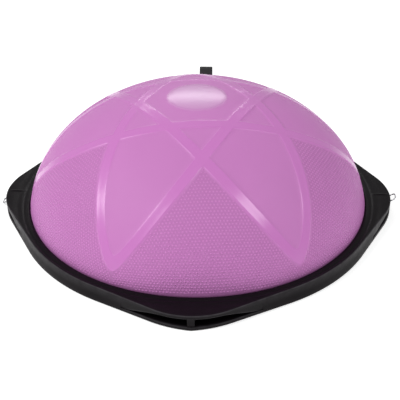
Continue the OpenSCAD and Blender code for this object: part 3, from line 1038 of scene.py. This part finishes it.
def dome_material():
    """Matte grained skin with painted shade between the dots, glossy bands, and a glossy pad with a
    paler painted highlight.
    """
    mat, nt, bsdf = material("dome_pvc")
    band = attribute(nt, "band")
    pad = attribute(nt, "pad")
    base = mix_colour(nt, cloud(nt, 9.0, 0.0, 1.0, detail=2.0), DOME_COLOUR, shade(DOME_COLOUR, 0.955))
    base = mix_colour(nt, band, base, BAND_COLOUR)
    # Painted shade: the skin in the dotted fields, between the dots, is darkened
    shade_between_dots = remap(nt, attribute(nt, "outside"), 0.0, 0.5, (1.5, 3.5))
    base = mix_colour(nt, shade_between_dots, base, shade(DOME_COLOUR, 0.8))
    # Painted highlight: the pad is paler than the skin, most in its middle
    base = mix_colour(nt, remap(nt, pad, 0.0, 0.85), base, PAD_HIGHLIGHT_COLOUR)
    pad_gloss = maths(nt, "MINIMUM", maths(nt, "MULTIPLY", pad, 2.5), 1.0)
    gloss = maths(nt, "MAXIMUM", band, pad_gloss)
    rough = mix_value(nt, gloss, cloud(nt, 60.0, 0.5, 0.58), 0.25)
    feed(nt, bsdf, Base_Color=base, Roughness=rough, Specular_IOR_Level=remap(nt, gloss, 0.2, 0.5))
    feed(nt, bsdf, Subsurface_Weight=0.06, Subsurface_Radius=(0.004, 0.002, 0.004), Subsurface_Scale=1.0)
    grain = maths(nt, "MULTIPLY", noise(nt, 1900.0, detail=2.0), maths(nt, "SUBTRACT", 1.0, gloss))
    bump(nt, bsdf, grain, strength=0.35, distance=0.00012)
    bump(nt, bsdf, noise(nt, 26.0, detail=2.0), strength=0.25, distance=0.0006)
    return mat


def dot_material():
    mat, nt, bsdf = material("dome_dots")
    tint = cloud(nt, 9.0, 0.0, 1.0, detail=2.0)
    # Painted highlight: the dots are painted paler than the skin they stand on, with noise varying the
    # lift at random
    base = mix_colour(nt, tint, shade(DOME_COLOUR, 1.08), shade(DOME_COLOUR, 1.03))
    rough = cloud(nt, 70.0, 0.36, 0.46, detail=2.0)
    feed(nt, bsdf, Base_Color=base, Roughness=rough, Specular_IOR_Level=0.3)
    bump(nt, bsdf, noise(nt, 1900.0, detail=2.0), strength=0.2, distance=0.0001)
    return mat


def black_plastic(name, colour, rough_low, rough_high, grain_scale, grain_depth):
    """Moulded plastic with a fine grain, scuffs, and paler edges that are a painted highlight."""
    mat, nt, bsdf = material(name)
    tint = remap(nt, noise(nt, 14.0, detail=4.0, rough=0.6), 0.0, 1.0, (0.35, 0.7))
    base = mix_colour(nt, tint, colour, shade(colour, 1.35))
    # The paler edges are a painted highlight along rounded corners, broken up by noise
    highlight_breakup = remap(nt, noise(nt, 90.0), 0.5, 1.0, (0.3, 0.6))
    base = mix_colour(nt, maths(nt, "MULTIPLY", attribute(nt, "edge"), highlight_breakup), base, EDGE_HIGHLIGHT_COLOUR)
    rough = cloud(nt, 120.0, rough_low, rough_high, detail=4.0, rough=0.6)
    feed(nt, bsdf, Base_Color=base, Roughness=rough, Specular_IOR_Level=0.11)
    bump(nt, bsdf, noise(nt, grain_scale, detail=2.0), strength=0.5, distance=grain_depth)
    return mat


def metal(name, colour, rough_low, rough_high):
    mat, nt, bsdf = material(name)
    tint = remap(nt, noise(nt, 220.0, detail=4.0), 0.0, 1.0, (0.35, 0.65))
    base = mix_colour(nt, tint, colour, shade(colour, 0.82))
    rough = cloud(nt, 500.0, rough_low, rough_high, detail=4.0)
    feed(nt, bsdf, Base_Color=base, Roughness=rough, Metallic=1.0)
    bump(nt, bsdf, noise(nt, 1400.0), strength=0.3, distance=0.00005)
    return mat


def rubber():
    mat, nt, bsdf = material("foot_rubber")
    base = mix_colour(nt, noise(nt, 90.0, detail=4.0), RUBBER_DARK, RUBBER_PALE)
    feed(nt, bsdf, Base_Color=base, Roughness=remap(nt, noise(nt, 300.0), 0.7, 0.9))
    bump(nt, bsdf, noise(nt, 1500.0, detail=2.0), strength=0.6, distance=0.0001)
    return mat


def soft_plastic(name, colour, rough):
    mat, nt, bsdf = material(name)
    base = mix_colour(nt, noise(nt, 30.0), colour, shade(colour, 0.88))
    rough = remap(nt, noise(nt, 200.0), rough - 0.06, rough + 0.08)
    feed(nt, bsdf, Base_Color=base, Roughness=rough, Subsurface_Weight=0.05)
    bump(nt, bsdf, noise(nt, 900.0, detail=2.0), strength=0.3, distance=0.00008)
    return mat


def webbing_material():
    """Black webbing with painted light and shade, its yarns paler where they stand up and darker where
    they sink, with a little dust.
    """
    mat, nt, bsdf = material("webbing")
    # Painted light and shade, led by the yarn attribute
    base = mix_colour(nt, remap(nt, attribute(nt, "yarn"), 0.0, 1.0), YARN_SHADED, YARN_LIT)
    base = mix_colour(nt, cloud(nt, 260.0, 0.0, 0.35), base, YARN_DUSTY)
    feed(nt, bsdf, Base_Color=base, Roughness=remap(nt, noise(nt, 900.0), 0.6, 0.85))
    feed(nt, bsdf, Sheen_Weight=0.08, Sheen_Roughness=0.4)
    bump(nt, bsdf, noise(nt, 2600.0), strength=0.6, distance=0.00012)
    return mat


def thread_material():
    """Thread with a fine twist."""
    mat, nt, bsdf = material("strap_thread")
    base = mix_colour(nt, noise(nt, 700.0, detail=2.0), THREAD_DARK, THREAD_PALE)
    rough = remap(nt, noise(nt, 900.0, detail=2.0), 0.5, 0.7)
    feed(nt, bsdf, Base_Color=base, Roughness=rough, Sheen_Weight=0.3)
    twist = nt.nodes.new("ShaderNodeTexWave")
    feed(nt, twist, Scale=900.0, Vector=nt.nodes.new("ShaderNodeNewGeometry").outputs["Position"])
    bump(nt, bsdf, twist.outputs["Fac"], strength=0.6, distance=0.0001)
    return mat


# ---------------------------------------------------------------- build


def add_piece(piece, mat, body, slot, *stands_for):
    paint(piece, mat)
    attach(piece, body)
    if stands_for:
        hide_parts(*stands_for)


def paint_cad_nodes():
    """Give each CAD node that stays in view its material, by the start of its name."""
    looks = {
        "platform": black_plastic("platform_black", PLATE_COLOUR, 0.5, 0.66, 1100.0, 0.00018),
        "bladder_floor": soft_plastic("floor_pvc", BLADDER_COLOUR, 0.42),
        "valve_seat": soft_plastic("seat_pvc", SEAT_COLOUR, 0.4),
        "valve_plug": soft_plastic("plug_white", PLUG_COLOUR, 0.38),
        "clamp_screws": metal("screw_steel", SCREW_COLOUR, 0.28, 0.42),
        "strap_pin": metal("pin_steel", PIN_COLOUR, 0.2, 0.34),
        "band_loop": metal("loop_steel", LOOP_COLOUR, 0.18, 0.3),
        "foot_": rubber(),
    }
    looks["loop_pin"] = looks["strap_pin"]
    for name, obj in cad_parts.items():
        for start, mat in looks.items():
            if name.startswith(start):
                paint(obj, mat)


base_black = black_plastic("base_black", BASE_COLOUR, 0.34, 0.46, 1500.0, 0.00009)
add_piece(dome_skin(), dome_material(), "base", "dome_pvc", "dome")
add_piece(grip_dots(), dot_material(), "base", "dome_pvc")
add_piece(rim_moulding(), base_black, "base", "base_black", "rim_ring")
add_piece(webbing_strap(), webbing_material(), "strap", "webbing", "carry_strap")
add_piece(strap_stitching(), thread_material(), "strap", "webbing")
paint_cad_nodes()

# ---------------------------------------------------------------- stage, in metres

WHITE = (1.0, 1.0, 1.0, 1.0)
FLOOR_HALF = 6.0
FLOOR_GLOW = 0.5
# Strength of the backdrop as a light, and as it is seen by the camera
BACKDROP_LIGHT = 0.42
BACKDROP_SEEN = 1.0

# Name, place, height of the point it faces, width, depth, power in watts
LIGHTS = (
    ("key_left", (-1.05, -0.46, 1.26), 0.1, 0.75, 0.75, 13.5),
    ("key_right", (0.95, -0.54, 1.3), 0.1, 0.45, 0.6, 6.5),
    ("back", (-0.1, 1.35, 0.87), 0.2, 0.8, 0.16, 2.6),
)

# Camera: angles in radians, distance from the origin, lens in millimetres
CAMERA_TILT = 0.5736
CAMERA_YAW = 0.0329
CAMERA_ROLL = -0.0072
CAMERA_DISTANCE = 1.4801
CAMERA_LENS = 79.15
CAMERA_SHIFT = (0.0060, 0.0127)


def place_in_scene(name, data):
    obj = bpy.data.objects.new(name, data)
    bpy.context.scene.collection.objects.link(obj)
    return obj


def floor():
    h = FLOOR_HALF
    corners = [(-h, -h, 0), (h, -h, 0), (h, h, 0), (-h, h, 0)]
    obj = new_object("floor", corners, [(0, 1, 2, 3)], smooth=False)
    mat, nt, bsdf = material("floor_white")
    feed(nt, bsdf, Base_Color=(0.9, 0.9, 0.9, 1.0), Roughness=0.9)
    feed(nt, bsdf, Emission_Color=WHITE, Emission_Strength=FLOOR_GLOW)
    paint(obj, mat)


def backdrop():
    """Soft light from all round, seen by the camera as plain white."""
    world = bpy.data.worlds.new("studio")
    world.use_nodes = True
    nt = world.node_tree
    seen = nt.nodes.new("ShaderNodeLightPath").outputs["Is Camera Ray"]
    strength = remap(nt, seen, BACKDROP_LIGHT, BACKDROP_SEEN)
    feed(nt, nt.nodes["Background"], Color=WHITE, Strength=strength)
    bpy.context.scene.world = world


def area_light(name, place, face_z, width, depth, power):
    light = bpy.data.lights.new(name, "AREA")
    light.shape = "RECTANGLE"
    light.size = width
    light.size_y = depth
    light.energy = power
    obj = place_in_scene(name, light)
    obj.location = place
    towards = Vector((0, 0, face_z)) - Vector(place)
    obj.rotation_euler = towards.to_track_quat("-Z", "Y").to_euler()


def camera():
    data = bpy.data.cameras.new("camera")
    data.lens = CAMERA_LENS
    data.sensor_width = 36.0
    data.shift_x, data.shift_y = CAMERA_SHIFT
    data.clip_start = 0.05
    obj = place_in_scene("camera", data)
    level = math.cos(CAMERA_TILT)
    back = Vector((math.sin(CAMERA_YAW) * level, -math.cos(CAMERA_YAW) * level, math.sin(CAMERA_TILT)))
    obj.location = back * CAMERA_DISTANCE
    aim = (-back).to_track_quat("-Z", "Y").to_matrix().to_4x4()
    obj.rotation_euler = (aim @ Matrix.Rotation(CAMERA_ROLL, 4, "Z")).to_euler()
    bpy.context.scene.camera = obj


floor()
backdrop()
for settings in LIGHTS:
    area_light(*settings)
camera()
bpy.context.scene.view_settings.view_transform = "Standard"
